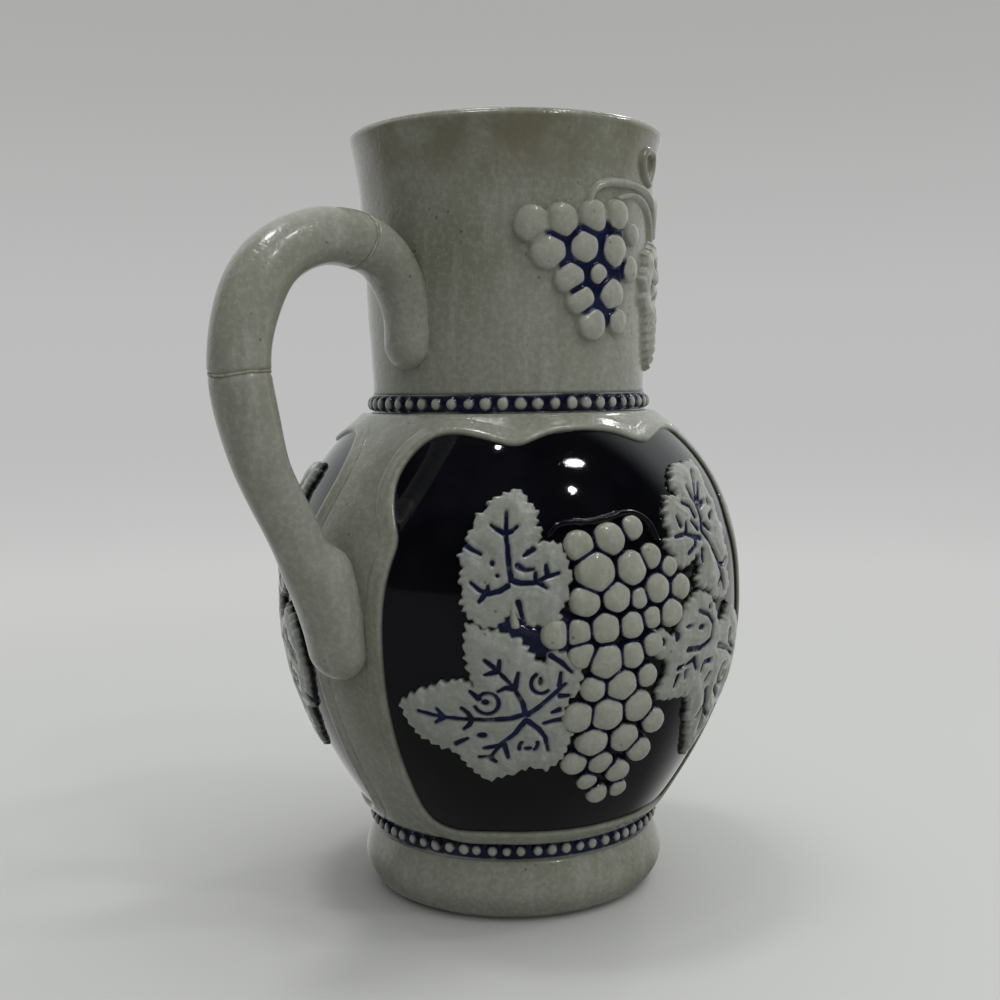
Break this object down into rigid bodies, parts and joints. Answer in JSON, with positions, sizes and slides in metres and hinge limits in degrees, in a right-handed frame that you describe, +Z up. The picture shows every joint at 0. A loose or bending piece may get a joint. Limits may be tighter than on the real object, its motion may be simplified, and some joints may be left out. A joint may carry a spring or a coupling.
{
  "type": "pitcher",
  "caption": "Stoneware pitcher with an ovoid belly, straight neck, small pouring lip, looped handle, beaded bands and moulded grapevine panels under grey and cobalt glaze.",
  "frame": {"origin": "centre of the flat base, on the pot's axis", "axes": "+Z up along the pot's axis, handle towards -X, pouring lip towards +X"},
  "size_m": [0.1873, 0.1477, 0.2351],
  "materials": {
    "salt_glaze": "grey salt glaze, semi-gloss with a fine pitted texture",
    "cobalt_glaze": "dark cobalt blue painted glaze, glossy"
  },
  "bodies": {
    "root": {"belly": "salt_glaze", "foot": "salt_glaze", "foot_bead_band": "cobalt_glaze", "front_panel_frame": "salt_glaze", "front_panel_grape_bunch": "salt_glaze", "front_panel_leaf_lower_left": "salt_glaze", "front_panel_leaf_lower_right": "salt_glaze", "front_panel_leaf_upper_left": "salt_glaze", "front_panel_leaf_upper_right": "salt_glaze", "handle_bow": "salt_glaze", "handle_lower_limb": "salt_glaze", "handle_neck_end": "salt_glaze", "left_panel_frame": "salt_glaze", "left_panel_grape_bunch": "salt_glaze", "left_panel_leaf_lower_left": "salt_glaze", "left_panel_leaf_lower_right": "salt_glaze", "left_panel_leaf_upper_left": "salt_glaze", "left_panel_leaf_upper_right": "salt_glaze", "neck": "salt_glaze", "neck_bead_band": "cobalt_glaze", "neck_bunch_front": "salt_glaze", "neck_bunch_left": "salt_glaze", "neck_bunch_right": "salt_glaze", "neck_leaf_left": "salt_glaze", "neck_leaf_right": "salt_glaze", "neck_tendril_left": "salt_glaze", "neck_tendril_right": "salt_glaze", "neck_vine_left_back": "salt_glaze", "neck_vine_left_front": "salt_glaze", "neck_vine_right_back": "salt_glaze", "neck_vine_right_front": "salt_glaze", "right_panel_frame": "salt_glaze", "right_panel_grape_bunch": "salt_glaze", "right_panel_leaf_lower_left": "salt_glaze", "right_panel_leaf_lower_right": "salt_glaze", "right_panel_leaf_upper_left": "salt_glaze", "right_panel_leaf_upper_right": "salt_glaze"}
  },
  "joints": []
}
